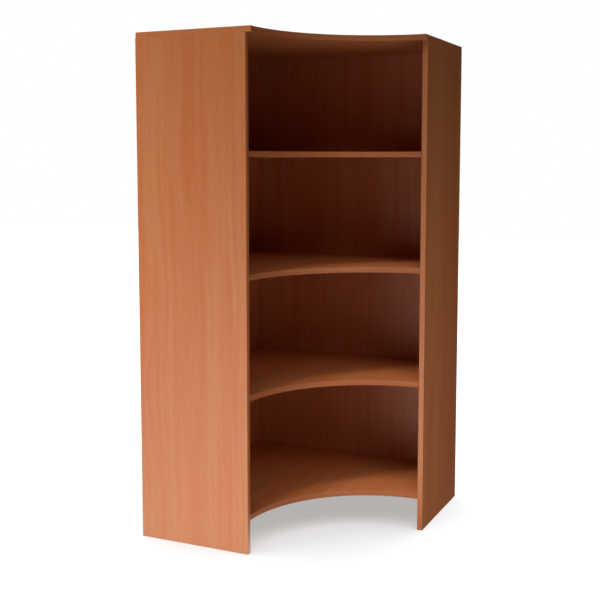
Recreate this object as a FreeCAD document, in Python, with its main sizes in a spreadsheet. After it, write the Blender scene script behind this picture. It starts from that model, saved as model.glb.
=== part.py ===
"""Corner shelf unit with a concave front, made of wood-pattern faced chipboard. Sizes are in millimetres.

The unit stands in the corner of a room. +Z is up and the origin is on the floor, in the middle of the
square that the unit takes up. The back corner is at -X, +Y and the concave front looks to +X, -Y. The
unit is its own mirror image in the upright plane through the back corner and the middle of the front:
a point (x, y) has its twin at (-y, -x). So joints are set out on the right half, and the left half is
mirrored from it.
"""

import FreeCAD, Part
import math
import os
import Sketcher
from FreeCAD import Placement, Rotation, Vector

# The unit as a whole, its boards and the room between them.
SIZES = {
    "wall_length": 740,  # the unit along each wall, over everything
    "side_depth": 352,  # a side panel from its back edge to the face of its edging
    "board": 16,  # thickness of every board
    "edging": 1,  # thickness of every edge strip
    "toe_height": 95,  # floor to the underside of the bottom shelf
    "compartment": 325.5,  # clear height of each compartment but the top one
    "top_compartment": 318.5,  # clear height of the top compartment
    "top_overhang": 17,  # the top's front corners past the side panels' fronts
    "top_back_inset": 1.5,  # the top's back edges in from the side panels' back edges
    "back_inset": 3,  # the back panels' rear faces in from the side panels' back edges
    "loose_gap": 1,  # room on each side of a loose shelf
    # Where the fasteners stand along a joint.
    "joint_end": 60,  # side panel joints: first cam from the front, last cam from the back panel
    "dowel_step": 32,  # a dowel from the cam next to it
    "back_end": 100,  # back panel joints: outer fasteners from the ends of the shelves' back edges
    "upright_end": 200,  # cams between back and side panels, from the floor and from the top
    "corner_end": 75,  # screws in the back corner, from the floor and from the top
    # A cam lock and the bolt that it pulls on.
    "cam_diameter": 15,
    "cam_setback": 34,  # middle of the cam behind the joint
    "cam_floor": 4.2,  # the bolt's axis to the bottom of the cam
    "cam_sink": 0.2,  # the cam's face below the board's face
    "cam_slot_length": 10,
    "cam_slot_width": 2,
    "cam_slot_depth": 2.5,
    "bolt_thread_diameter": 6,
    "bolt_thread_length": 11,
    "bolt_shank_diameter": 7,
    "bolt_neck_diameter": 4,
    "bolt_neck_length": 7,
    "bolt_head_diameter": 6.5,
    "bolt_head_length": 3,
    "bolt_play": 0.5,  # room round the bolt's shank, neck and head
    # A wooden dowel.
    "dowel_diameter": 8,
    "dowel_length": 30,
    "dowel_in_face": 11,  # the stretch of it in the board that is drilled through its face
    "dowel_chamfer": 1,
    # A connecting screw, driven through a back panel into a board's edge.
    "screw_length": 50,
    "screw_head_diameter": 10,
    "screw_head_height": 3,
    "screw_shank_diameter": 7,
    "screw_shank_length": 12,
    "screw_thread_diameter": 6,
    "screw_socket_flats": 4,
    "screw_socket_depth": 2.5,
    # A plug-in support under a loose shelf.
    "support_width": 12,
    "support_reach": 9,
    "support_height": 10,
    "support_plate": 2.5,
    "support_pin_diameter": 5,
    "support_pin_length": 8,
    # Fits.
    "fit_gap": 0.05,  # room round a dowel, thread or pin in its bore
    "bore_end_gap": 0.5,  # air past the end of a fastener
    "overrun": 1,  # a cut's run past an open face
}
CORNER_SCREWS = 5
QUARTER_TURN = 90

# Levels and lines that the boards share, worked out from the sizes.
HALF = "(dims.wall_length / 2)"
SIDE_INNER = f"({HALF} - dims.board)"
SIDE_MIDDLE = f"({HALF} - dims.board / 2)"
SIDE_FRONT = f"({HALF} - dims.side_depth)"
BACK_OUTER = f"({HALF} - dims.back_inset)"
BACK_MIDDLE = f"({BACK_OUTER} - dims.board / 2)"
BACK_INNER = f"({BACK_OUTER} - dims.board)"
PITCH = "(dims.compartment + dims.board)"
BOTTOM_LEVEL = "dims.toe_height"
LOWER_LEVEL = f"(dims.toe_height + {PITCH})"
MIDDLE_LEVEL = f"(dims.toe_height + 2 * {PITCH})"
UPPER_LEVEL = f"(dims.toe_height + 3 * {PITCH})"
TOP_LEVEL = f"({UPPER_LEVEL} + dims.board + dims.top_compartment)"

RIGHT = Vector(1, 0, 0)
BACK = Vector(0, 1, 0)
UP = Vector(0, 0, 1)

doc = FreeCAD.newDocument("corner_shelf_unit")
dims = doc.addObject("Spreadsheet::Sheet", "dims")
for row, (size, number) in enumerate(SIZES.items(), 1):
    dims.set(f"A{row}", size)
    dims.set(f"B{row}", str(number))
    dims.setAlias(f"B{row}", size)
doc.recompute()

nodes = {}


def value(expression):
    """The present value of an expression in the sheet's sizes."""
    return float(dims.evalExpression(expression))


def bind(item, **expressions):
    """Ties properties of a document object to expressions in the sheet's sizes."""
    for name, expression in expressions.items():
        item.setExpression(name, expression)
    return item


def put(item, x, y, z):
    """Ties the base point of an object's placement to three expressions, and keeps its turn."""
    for axis, expression in zip("xyz", (x, y, z)):
        item.setExpression(f"Placement.Base.{axis}", expression)
    return item


def node(label, item):
    """Makes an object a sub-part of the unit, under its own label."""
    item.Label = label
    nodes[label] = item
    return item


def mirrored(station):
    """The twin of a station on the other half of the unit."""
    (x, y, z), into, opens = station
    turned_into = Vector(-into.y, -into.x, into.z)
    turned_opens = Vector(-opens.y, -opens.x, opens.z)
    return (f"-({y})", f"-({x})", z), turned_into, turned_opens


def both_halves(stations):
    """The stations of the right half with their twins on the left."""
    return stations + [mirrored(station) for station in stations]


def copies(name, master, stations):
    """One compound of a master at every station: its Z points into the joint, its X where it opens."""
    links = []
    for (x, y, z), into, opens in stations:
        link = doc.addObject("App::Link", f"{name}_copy")
        link.LinkedObject = master
        link.LinkTransform = True
        link.Placement = Placement(Vector(), Rotation(opens, into.cross(opens), into, "ZXY"))
        links.append(put(link, x, y, z))
    compound = doc.addObject("Part::Compound", name)
    compound.Links = links
    return compound


def attached_sketch(body, name, role):
    """An empty sketch on one of a body's own origin planes."""
    plane = next(feature for feature in body.Origin.OriginFeatures if feature.Role == role)
    sketch = body.newObject("Sketcher::SketchObject", name)
    sketch.AttachmentSupport = [(plane, "")]
    sketch.MapMode = "FlatFace"
    return sketch


def dimension(sketch, kind, targets, expression):
    """A dimension of a sketch that follows an expression."""
    index = sketch.addConstraint(Sketcher.Constraint(kind, *targets, value(expression)))
    sketch.setExpression(f"Constraints[{index}]", expression)


def closed_outline(sketch, points):
    """Straight lines round a list of points, each held by its two coordinates from the sketch's origin."""
    corners = [Vector(value(x), value(y), 0) for x, y in points]
    ends = corners[1:] + corners[:1]
    lines = sketch.addGeometry([Part.LineSegment(start, end) for start, end in zip(corners, ends)], False)
    for line, follower in zip(lines, lines[1:] + lines[:1]):
        sketch.addConstraint(Sketcher.Constraint("Coincident", line, 2, follower, 1))
    for line, (x, y) in zip(lines, points):
        for kind, expression, axis in (("DistanceX", x, -2), ("DistanceY", y, -1)):
            if expression == "0":
                sketch.addConstraint(Sketcher.Constraint("PointOnObject", line, 1, axis))
            else:
                dimension(sketch, kind, (-1, 1, line, 1), expression)


def turned(name, profile):
    """A lathe-turned body: a profile of (radius, height) points revolved about Z."""
    body = doc.addObject("PartDesign::Body", name)
    sketch = attached_sketch(body, f"{name}_profile", "XZ_Plane")
    closed_outline(sketch, profile)
    revolution = body.newObject("PartDesign::Revolution", f"{name}_revolution")
    revolution.Profile = sketch
    revolution.ReferenceAxis = (sketch, ["V_Axis"])
    return body


def box(name, low, size, left):
    """A rectangular board or strip on the right half, or its twin on the left."""
    x, y, z = low
    length, width, height = size
    if left:
        x, y = f"-({y} + {width})", f"-({x} + {length})"
        length, width = width, length
    blank = doc.addObject("Part::Box", name)
    bind(blank, Length=length, Width=width, Height=height)
    return put(blank, x, y, z)


def quarter_arc(sketch, radius):
    """A quarter circle about the sketch's origin, from its X axis to its Y axis."""
    circle = Part.Circle(Vector(), UP, value(radius))
    arc = sketch.addGeometry(Part.ArcOfCircle(circle, 0, math.radians(QUARTER_TURN)))
    sketch.addConstraint(Sketcher.Constraint("Coincident", arc, 3, -1, 1))
    sketch.addConstraint(Sketcher.Constraint("PointOnObject", arc, 1, -1))
    sketch.addConstraint(Sketcher.Constraint("PointOnObject", arc, 2, -2))
    dimension(sketch, "Radius", (arc,), radius)
    return arc


def straight(sketch, start, end):
    """A line of a sketch between two points, given by their expressions."""
    ends = [Vector(value(x), value(y), 0) for x, y in (start, end)]
    return sketch.addGeometry(Part.LineSegment(*ends))


def join(sketch, *pairs):
    """Makes pairs of end points of a sketch's lines and arcs meet."""
    for first, second in pairs:
        sketch.addConstraint(Sketcher.Constraint("Coincident", *first, *second))


def standing_at_corner(name, corner, level):
    """A body whose own X and Y run along +Y and -X from the front corner of a square board."""
    body = doc.addObject("PartDesign::Body", name)
    body.Placement = Placement(Vector(), Rotation(UP, QUARTER_TURN))
    put(body, corner, f"-({corner})", level)
    return body


def padded(body, sketch, height):
    """Gives a sketch its thickness."""
    pad = body.newObject("PartDesign::Pad", f"{body.Name}_pad")
    pad.Profile = sketch
    bind(pad, Length=height)
    return body


def concave_board(name, corner, span, radius, level):
    """A square board with a quarter circle cut out of its front corner, about that corner."""
    body = standing_at_corner(name, corner, level)
    sketch = attached_sketch(body, f"{name}_outline", "XY_Plane")
    arc = quarter_arc(sketch, radius)
    first = straight(sketch, (radius, "0"), (span, "0"))
    right = straight(sketch, (span, "0"), (span, span))
    back = straight(sketch, (span, span), ("0", span))
    last = straight(sketch, ("0", span), ("0", radius))
    join(sketch, ((arc, 1), (first, 1)), ((first, 2), (right, 1)), ((right, 2), (back, 1)))
    join(sketch, ((back, 2), (last, 1)), ((last, 2), (arc, 2)))
    sketch.addConstraint(Sketcher.Constraint("Horizontal", first))
    sketch.addConstraint(Sketcher.Constraint("Vertical", right))
    sketch.addConstraint(Sketcher.Constraint("Horizontal", back))
    sketch.addConstraint(Sketcher.Constraint("Vertical", last))
    dimension(sketch, "DistanceX", (-1, 1, first, 2), span)
    dimension(sketch, "DistanceY", (-1, 1, last, 1), span)
    return padded(body, sketch, "dims.board")


def curved_edging(name, corner, radius, level):
    """The edge strip that lines the quarter circle of a concave board."""
    body = standing_at_corner(name, corner, level)
    sketch = attached_sketch(body, f"{name}_outline", "XY_Plane")
    face = f"({radius} - dims.edging)"
    outer = quarter_arc(sketch, radius)
    inner = quarter_arc(sketch, face)
    first = straight(sketch, (face, "0"), (radius, "0"))
    last = straight(sketch, ("0", radius), ("0", face))
    join(sketch, ((inner, 1), (first, 1)), ((first, 2), (outer, 1)))
    join(sketch, ((outer, 2), (last, 1)), ((last, 2), (inner, 2)))
    return padded(body, sketch, "dims.board")


def drilled(label, blank, *bores):
    """A board with the bores of its joints cut out of it."""
    tools = doc.addObject("Part::Compound", f"{label}_bores")
    tools.Links = list(bores)
    cut = doc.addObject("Part::Cut", f"{label}_drilled")
    cut.Base = blank
    cut.Tool = tools
    return node(label, cut)


def cam_lock():
    """A disc across the joint's axis, with a cross for the driver and a pocket that grips the bolt's head."""
    disc = doc.addObject("Part::Cylinder", "cam_disc")
    disc.Placement = Placement(Vector(), Rotation(UP, RIGHT))
    bind(disc, Radius="dims.cam_diameter / 2", Height="dims.board / 2 - dims.cam_sink + dims.cam_floor")
    put(disc, "-dims.cam_floor", "0", "dims.cam_setback")
    neck_room = doc.addObject("Part::Cylinder", "cam_neck_room")
    bind(neck_room, Radius="dims.bolt_neck_diameter / 2 + dims.bolt_play", Height="dims.cam_setback")
    head_room = doc.addObject("Part::Cylinder", "cam_head_room")
    bind(head_room, Radius="dims.bolt_head_diameter / 2 + dims.bolt_play")
    bind(head_room, Height="dims.bolt_head_length + dims.bolt_play")
    put(head_room, "0", "0", "dims.cam_setback - dims.bolt_head_length / 2")
    slots = []
    for name, width, length in (
        ("cam_slot_across", "dims.cam_slot_length", "dims.cam_slot_width"),
        ("cam_slot_along", "dims.cam_slot_width", "dims.cam_slot_length"),
    ):
        slot = doc.addObject("Part::Box", name)
        bind(slot, Length="dims.cam_slot_depth + dims.overrun", Width=width, Height=length)
        floor = "dims.board / 2 - dims.cam_sink - dims.cam_slot_depth"
        slots.append(put(slot, floor, f"-{width} / 2", f"dims.cam_setback - {length} / 2"))
    rooms = doc.addObject("Part::MultiFuse", "cam_rooms")
    rooms.Shapes = [neck_room, head_room]
    cross = doc.addObject("Part::MultiFuse", "cam_cross")
    cross.Shapes = slots
    gripping = doc.addObject("Part::Cut", "cam_gripping")
    gripping.Base = disc
    gripping.Tool = rooms
    lock = doc.addObject("Part::Cut", "cam_lock")
    lock.Base = gripping
    lock.Tool = cross
    return lock


def cam_bolt():
    """The bolt in a board's face: thread, shank, neck and head, with the head in the middle of its cam."""
    thread = "dims.bolt_thread_diameter / 2"
    shank = "dims.bolt_shank_diameter / 2"
    neck = "dims.bolt_neck_diameter / 2"
    head = "dims.bolt_head_diameter / 2"
    head_start = "dims.cam_setback - dims.bolt_head_length / 2"
    head_end = "dims.cam_setback + dims.bolt_head_length / 2"
    neck_start = f"{head_start} - dims.bolt_neck_length"
    return turned(
        "cam_bolt",
        [
            ("0", "-dims.bolt_thread_length"),
            (thread, "-dims.bolt_thread_length"),
            (thread, "0"),
            (shank, "0"),
            (shank, neck_start),
            (neck, neck_start),
            (neck, head_start),
            (head, head_start),
            (head, head_end),
            ("0", head_end),
        ],
    )


def bolt_bore():
    """The blind bore for a cam bolt's thread, in a board's face."""
    bore = doc.addObject("Part::Cylinder", "bolt_bore")
    bind(bore, Radius="dims.bolt_thread_diameter / 2 + dims.fit_gap")
    bind(bore, Height="dims.bolt_thread_length + dims.bore_end_gap + dims.overrun")
    return put(bore, "0", "0", "-dims.bolt_thread_length - dims.bore_end_gap")


def cam_bore():
    """The pocket for a cam in a board's face, and the bore from the board's edge that lets the bolt in."""
    pocket = doc.addObject("Part::Cylinder", "cam_pocket")
    pocket.Placement = Placement(Vector(), Rotation(UP, RIGHT))
    bind(pocket, Radius="dims.cam_diameter / 2 + dims.fit_gap")
    bind(pocket, Height="dims.board / 2 + dims.cam_floor + dims.overrun")
    put(pocket, "-dims.cam_floor", "0", "dims.cam_setback")
    entry = doc.addObject("Part::Cylinder", "cam_entry")
    bind(entry, Radius="dims.bolt_shank_diameter / 2 + dims.bolt_play")
    bind(entry, Height="dims.cam_setback + dims.overrun")
    put(entry, "0", "0", "-dims.overrun")
    bore = doc.addObject("Part::MultiFuse", "cam_bore")
    bore.Shapes = [pocket, entry]
    return bore


def dowel():
    """A wooden dowel with chamfered ends, across the joint."""
    radius = "dims.dowel_diameter / 2"
    tip = f"{radius} - dims.dowel_chamfer"
    start = "-dims.dowel_in_face"
    end = "dims.dowel_length - dims.dowel_in_face"
    return turned(
        "dowel",
        [
            ("0", start),
            (tip, start),
            (radius, f"{start} + dims.dowel_chamfer"),
            (radius, f"{end} - dims.dowel_chamfer"),
            (tip, end),
            ("0", end),
        ],
    )


def dowel_bore():
    """The bore for a dowel, through the joint into both boards."""
    bore = doc.addObject("Part::Cylinder", "dowel_bore")
    bind(bore, Radius="dims.dowel_diameter / 2 + dims.fit_gap")
    bind(bore, Height="dims.dowel_length + 2 * dims.bore_end_gap")
    return put(bore, "0", "0", "-dims.dowel_in_face - dims.bore_end_gap")


def screw():
    """A connecting screw with a flat countersunk head, a hexagon socket and a pointed end."""
    head = "dims.screw_head_diameter / 2"
    shank = "dims.screw_shank_diameter / 2"
    thread = "dims.screw_thread_diameter / 2"
    shank_end = "dims.screw_head_height + dims.screw_shank_length"
    body = turned(
        "screw",
        [
            ("0", "0"),
            (head, "0"),
            (shank, "dims.screw_head_height"),
            (shank, shank_end),
            (thread, shank_end),
            (thread, f"dims.screw_length - {thread}"),
            ("0", "dims.screw_length"),
        ],
    )
    doc.recompute()
    solid_volume = body.Shape.Volume
    sketch = attached_sketch(body, "screw_socket", "XY_Plane")
    across = "dims.screw_socket_flats"
    corner = f"{across} / 2 * tan(30)"
    tip = f"{across} / 2 / cos(30)"
    half = f"{across} / 2"
    closed_outline(
        sketch,
        [
            (corner, half),
            (f"-{corner}", half),
            (f"-{tip}", "0"),
            (f"-{corner}", f"-{half}"),
            (corner, f"-{half}"),
            (tip, "0"),
        ],
    )
    socket = body.newObject("PartDesign::Pocket", "screw_socket_pocket")
    socket.Profile = sketch
    socket.Reversed = True
    bind(socket, Length="dims.screw_socket_depth")
    doc.recompute()
    if body.Shape.Volume >= solid_volume:
        raise RuntimeError("the screw's socket cuts nothing")
    return body


def screw_bore():
    """The countersunk bore for a connecting screw, through a back panel into a board's edge."""
    head = "dims.screw_head_diameter / 2 + dims.fit_gap"
    shank = "dims.screw_shank_diameter / 2 + dims.fit_gap"
    thread = "dims.screw_thread_diameter / 2 + dims.fit_gap"
    shank_end = "dims.screw_head_height + dims.screw_shank_length + dims.fit_gap"
    end = "dims.screw_length + dims.bore_end_gap"
    return turned(
        "screw_bore",
        [
            ("0", "-dims.overrun"),
            (head, "-dims.overrun"),
            (head, "0"),
            (shank, "dims.screw_head_height"),
            (shank, shank_end),
            (thread, shank_end),
            (thread, end),
            ("0", end),
        ],
    )


def shelf_support():
    """An angle piece that a loose shelf rests on, with a pin into the panel behind it."""
    body = doc.addObject("PartDesign::Body", "shelf_support")
    angle = attached_sketch(body, "shelf_support_angle", "XZ_Plane")
    closed_outline(
        angle,
        [
            ("0", "0"),
            ("0", "-dims.support_reach"),
            ("-dims.support_plate", "-dims.support_reach"),
            ("-dims.support_plate", "-dims.support_plate"),
            ("-dims.support_height", "-dims.support_plate"),
            ("-dims.support_height", "0"),
        ],
    )
    padded(body, angle, "dims.support_width")
    body.Tip.SideType = "Symmetric"
    round_pin = attached_sketch(body, "shelf_support_pin", "XY_Plane")
    axis = "-dims.support_height / 2"
    radius = "dims.support_pin_diameter / 2"
    circle = round_pin.addGeometry(Part.Circle(Vector(value(axis), 0, 0), UP, value(radius)))
    round_pin.addConstraint(Sketcher.Constraint("PointOnObject", circle, 3, -1))
    dimension(round_pin, "DistanceX", (-1, 1, circle, 3), axis)
    dimension(round_pin, "Radius", (circle,), radius)
    return padded(body, round_pin, "dims.support_pin_length")


def support_bore():
    """The bore in a panel for a shelf support's pin."""
    bore = doc.addObject("Part::Cylinder", "support_bore")
    bind(bore, Radius="dims.support_pin_diameter / 2 + dims.fit_gap")
    bind(bore, Height="dims.support_pin_length + dims.bore_end_gap + dims.overrun")
    return put(bore, "-dims.support_height / 2", "0", "-dims.overrun")


CAM = cam_lock()
BOLT = cam_bolt()
BOLT_BORE = bolt_bore()
CAM_BORE = cam_bore()
DOWEL = dowel()
DOWEL_BORE = dowel_bore()
SCREW = screw()
SCREW_BORE = screw_bore()
SUPPORT = shelf_support()
SUPPORT_BORE = support_bore()

# Lines on which the fasteners stand: along a side panel's depth, along a back panel and up a back panel.
SIDE_CAM_LINE = [f"({SIDE_FRONT} + dims.joint_end)", f"({BACK_INNER} - dims.joint_end)"]
SIDE_DOWEL_LINE = [f"({SIDE_CAM_LINE[0]} + dims.dowel_step)", f"({SIDE_CAM_LINE[1]} - dims.dowel_step)"]
BACK_ENDS = [f"(dims.back_end - {BACK_INNER})", f"({SIDE_INNER} - dims.back_end)"]
BACK_DOWEL_LINE = [f"({BACK_ENDS[0]} + dims.dowel_step)", f"({BACK_ENDS[1]} - dims.dowel_step)"]
BACK_SCREW_LINE = [BACK_ENDS[0], f"(({BACK_ENDS[0]} + {BACK_ENDS[1]}) / 2)", BACK_ENDS[1]]
UPRIGHT_ENDS = ["dims.upright_end", f"({TOP_LEVEL} - dims.upright_end)"]
UPRIGHT_CAM_LINE = [UPRIGHT_ENDS[0], f"({TOP_LEVEL} / 2)", UPRIGHT_ENDS[1]]
UPRIGHT_DOWEL_LINE = [f"({UPRIGHT_ENDS[0]} + dims.dowel_step)", f"({UPRIGHT_ENDS[1]} - dims.dowel_step)"]


def cam_joint(name, cam_stations, dowel_stations):
    """The cams, bolts and dowels of a joint, and its bores: those in faces and those in edges."""
    node(f"{name}_cam_locks", copies(f"{name}_cam_locks", CAM, cam_stations))
    node(f"{name}_cam_bolts", copies(f"{name}_cam_bolts", BOLT, cam_stations))
    node(f"{name}_dowels", copies(f"{name}_dowels", DOWEL, dowel_stations))
    dowel_bores = copies(f"{name}_dowel_bores", DOWEL_BORE, dowel_stations)
    face_bores = [copies(f"{name}_bolt_bores", BOLT_BORE, cam_stations), dowel_bores]
    edge_bores = [copies(f"{name}_cam_bores", CAM_BORE, cam_stations), dowel_bores]
    return face_bores, edge_bores


def shelf_joint(name, level):
    """A fixed shelf held between the side panels by cams and dowels, and by screws from behind."""
    middle = f"({level} + dims.board / 2)"
    cams = [((SIDE_INNER, y, middle), -RIGHT, -UP) for y in SIDE_CAM_LINE]
    dowels = [((SIDE_INNER, y, middle), -RIGHT, -UP) for y in SIDE_DOWEL_LINE]
    screws = both_halves([((x, BACK_OUTER, middle), -BACK, UP) for x in BACK_SCREW_LINE])
    face_bores, edge_bores = cam_joint(name, both_halves(cams), both_halves(dowels))
    node(f"{name}_back_screws", copies(f"{name}_back_screws", SCREW, screws))
    return face_bores, edge_bores, copies(f"{name}_screw_bores", SCREW_BORE, screws)


def support_joint(name, level):
    """The supports of a loose shelf in the side panels and the back panels, and their bores."""
    stations = [((SIDE_INNER, y, level), RIGHT, UP) for y in SIDE_CAM_LINE]
    stations += [((x, BACK_INNER, level), BACK, UP) for x in BACK_ENDS]
    stations = both_halves(stations)
    node(f"{name}_supports", copies(f"{name}_supports", SUPPORT, stations))
    return copies(f"{name}_support_bores", SUPPORT_BORE, stations)


def upright_joint():
    """Back panels held to the side panels by cams in their rear faces, and by dowels."""
    cams = [((SIDE_INNER, BACK_MIDDLE, z), -RIGHT, BACK) for z in UPRIGHT_CAM_LINE]
    dowels = [((SIDE_INNER, BACK_MIDDLE, z), -RIGHT, BACK) for z in UPRIGHT_DOWEL_LINE]
    return cam_joint("back_panel", both_halves(cams), both_halves(dowels))


def top_joint():
    """The top held down on the side panels and the back panels by cams and dowels."""
    cams = [((SIDE_MIDDLE, y, TOP_LEVEL), -UP, -RIGHT) for y in SIDE_CAM_LINE]
    cams += [((x, BACK_MIDDLE, TOP_LEVEL), -UP, BACK) for x in BACK_ENDS]
    dowels = [((SIDE_MIDDLE, y, TOP_LEVEL), -UP, -RIGHT) for y in SIDE_DOWEL_LINE]
    dowels += [((x, BACK_MIDDLE, TOP_LEVEL), -UP, BACK) for x in BACK_DOWEL_LINE]
    return cam_joint("top_panel", both_halves(cams), both_halves(dowels))


def corner_joint():
    """Screws up the back corner, through the right back panel into the edge of the left one."""
    stations = []
    for place in range(CORNER_SCREWS):
        share = f"{place} / {CORNER_SCREWS - 1}"
        z = f"dims.corner_end + ({TOP_LEVEL} - 2 * dims.corner_end) * {share}"
        stations.append(((f"-{BACK_MIDDLE}", BACK_OUTER, z), -BACK, UP))
    node("back_corner_screws", copies("back_corner_screws", SCREW, stations))
    return copies("back_corner_screw_bores", SCREW_BORE, stations)


bottom_faces, bottom_edges, bottom_screws = shelf_joint("bottom_shelf", BOTTOM_LEVEL)
middle_faces, middle_edges, middle_screws = shelf_joint("middle_shelf", MIDDLE_LEVEL)
lower_supports = support_joint("lower_shelf", LOWER_LEVEL)
upper_supports = support_joint("upper_shelf", UPPER_LEVEL)
upright_faces, upright_edges = upright_joint()
top_faces, top_edges = top_joint()
corner_screws = corner_joint()


def side_panel(hand, left):
    """A side panel from the floor to the top, with an edge strip up its front."""
    front = f"({SIDE_FRONT} + dims.edging)"
    low = (SIDE_INNER, front, "0")
    size = ("dims.board", "dims.side_depth - dims.edging", TOP_LEVEL)
    blank = box(f"{hand}_side_blank", low, size, left)
    shelf_bores = bottom_faces + middle_faces + [lower_supports, upper_supports]
    drilled(f"{hand}_side_panel", blank, *shelf_bores, *upright_faces, *top_edges)
    strip_low = (SIDE_INNER, SIDE_FRONT, "0")
    strip_size = ("dims.board", "dims.edging", TOP_LEVEL)
    node(f"{hand}_side_front_edging", box(f"{hand}_side_strip", strip_low, strip_size, left))


def back_panel(hand, left, far_end):
    """A back panel from the floor to the top, from a side panel to the back corner."""
    low = (f"-{far_end}", BACK_INNER, "0")
    size = (f"({far_end} + {SIDE_INNER})", "dims.board", TOP_LEVEL)
    blank = box(f"{hand}_back_blank", low, size, left)
    shelf_bores = [bottom_screws, middle_screws, lower_supports, upper_supports]
    drilled(f"{hand}_back_panel", blank, *shelf_bores, *upright_edges, *top_edges, corner_screws)


def fixed_shelf(label, level, edge_bores, screw_bores):
    """A shelf that fits tight between the panels, with an edge strip round its concave front."""
    span = f"({SIDE_INNER} + {BACK_INNER})"
    radius = f"({SIDE_INNER} + {SIDE_FRONT} + dims.edging)"
    blank = concave_board(f"{label}_blank", SIDE_INNER, span, radius, level)
    drilled(label, blank, *edge_bores, screw_bores)
    node(f"{label}_edging", curved_edging(f"{label}_strip", SIDE_INNER, radius, level))


def loose_shelf(label, level):
    """A shelf that lies on its supports with a little room all round, so that it lifts out."""
    corner = f"({SIDE_INNER} - dims.loose_gap)"
    span = f"({SIDE_INNER} + {BACK_INNER} - 2 * dims.loose_gap)"
    radius = f"({corner} + {SIDE_FRONT} + dims.edging)"
    node(label, concave_board(f"{label}_board", corner, span, radius, level))
    node(f"{label}_edging", curved_edging(f"{label}_strip", corner, radius, level))


def top_panel():
    """The top over all the panels, with edge strips along both ends and round its concave front."""
    corner = f"({HALF} - dims.edging)"
    span = "(dims.wall_length - dims.edging - dims.top_back_inset)"
    front = f"({SIDE_FRONT} - dims.top_overhang)"
    radius = f"({corner} + {front} + dims.edging)"
    drilled("top_panel", concave_board("top_blank", corner, span, radius, TOP_LEVEL), *top_faces)
    node("top_front_edging", curved_edging("top_front_strip", corner, radius, TOP_LEVEL))
    low = (corner, front, TOP_LEVEL)
    size = ("dims.edging", f"({HALF} - dims.top_back_inset - {front})", "dims.board")
    for hand, left in (("right", False), ("left", True)):
        node(f"top_{hand}_edging", box(f"top_{hand}_strip", low, size, left))


side_panel("right", False)
side_panel("left", True)
back_panel("right", False, BACK_OUTER)
back_panel("left", True, BACK_INNER)
fixed_shelf("bottom_shelf", BOTTOM_LEVEL, bottom_edges, bottom_screws)
fixed_shelf("middle_shelf", MIDDLE_LEVEL, middle_edges, middle_screws)
loose_shelf("lower_shelf", LOWER_LEVEL)
loose_shelf("upper_shelf", UPPER_LEVEL)
top_panel()
doc.recompute()

for item in doc.Objects:
    if "Invalid" in item.State or "Error" in item.State:
        raise RuntimeError(f"{item.Label} failed: {item.State}")
for label, item in nodes.items():
    if item.Shape.isNull() or not item.Shape.isValid():
        raise RuntimeError(f"{label} has no valid shape")
    if item.TypeId == "Part::Cut" and len(item.Shape.Faces) <= len(item.Base.Shape.Faces):
        raise RuntimeError(f"the bores of {label} cut nothing")

os.makedirs("parts", exist_ok=True)
for label, item in nodes.items():
    item.Shape.exportStep(f"parts/{label}.step")
print(f"{len(nodes)} nodes, {sum(len(item.Shape.Solids) for item in nodes.values())} solids")
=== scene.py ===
"""Looks of the corner shelf unit: wood-pattern boards, edge strips, fittings, floor, light and camera.

Lengths are in metres. +Z is up, the back corner of the unit is at -X, +Y and its concave front looks to
+X, -Y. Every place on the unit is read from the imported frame.
"""

import math

import bmesh
import bpy
import numpy as np
from bpy.props import FloatProperty, FloatVectorProperty, IntProperty, PointerProperty
from bpy.types import NodeSocket, Operator, Panel, PropertyGroup
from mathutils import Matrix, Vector


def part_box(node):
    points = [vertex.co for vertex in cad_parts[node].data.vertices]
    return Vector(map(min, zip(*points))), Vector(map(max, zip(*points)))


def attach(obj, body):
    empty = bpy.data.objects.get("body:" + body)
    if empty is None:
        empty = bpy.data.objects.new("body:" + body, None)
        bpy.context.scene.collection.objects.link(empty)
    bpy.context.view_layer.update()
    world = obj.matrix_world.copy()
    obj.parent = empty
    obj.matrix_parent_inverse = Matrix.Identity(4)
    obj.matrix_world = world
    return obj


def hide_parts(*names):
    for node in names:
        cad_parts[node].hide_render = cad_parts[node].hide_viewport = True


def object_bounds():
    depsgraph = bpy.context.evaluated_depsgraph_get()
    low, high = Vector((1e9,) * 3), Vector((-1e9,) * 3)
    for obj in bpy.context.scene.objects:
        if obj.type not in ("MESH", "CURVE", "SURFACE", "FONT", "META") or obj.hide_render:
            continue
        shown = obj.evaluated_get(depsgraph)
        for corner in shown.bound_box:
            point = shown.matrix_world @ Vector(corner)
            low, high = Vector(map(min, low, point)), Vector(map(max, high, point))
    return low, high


bl_info = {
    "name": "Corner shelf unit",
    "version": (1, 0, 0),
    "blender": (4, 5, 0),
    "location": "3D View > Sidebar > Shelf unit",
    "description": "Finishes the boards, edge strips and fittings of a corner shelf unit, and its stage",
    "category": "Object",
}

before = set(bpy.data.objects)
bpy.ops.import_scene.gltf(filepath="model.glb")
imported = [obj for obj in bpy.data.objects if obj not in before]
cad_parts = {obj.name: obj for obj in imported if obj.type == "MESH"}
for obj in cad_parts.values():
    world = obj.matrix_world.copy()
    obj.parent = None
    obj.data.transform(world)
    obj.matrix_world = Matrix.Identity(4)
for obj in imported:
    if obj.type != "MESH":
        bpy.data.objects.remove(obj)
CAD_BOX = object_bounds()
MM = 0.001

CARCASS = "carcass"
UPRIGHT_BOARDS = ("left_side_panel", "right_side_panel", "left_back_panel", "right_back_panel")
LEVEL_BOARDS = ("top_panel", "bottom_shelf", "lower_shelf", "middle_shelf", "upper_shelf")
LOOSE_SHELF_BODIES = {"lower_shelf": "lower_lift_out_shelf", "upper_shelf": "upper_lift_out_shelf"}
CAM_JOINTS = ("back_panel", "bottom_shelf", "middle_shelf", "top_panel")
SCREW_GROUPS = ("back_corner_screws", "bottom_shelf_back_screws", "middle_shelf_back_screws")
SUPPORT_GROUPS = ("lower_shelf_supports", "upper_shelf_supports")

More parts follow.
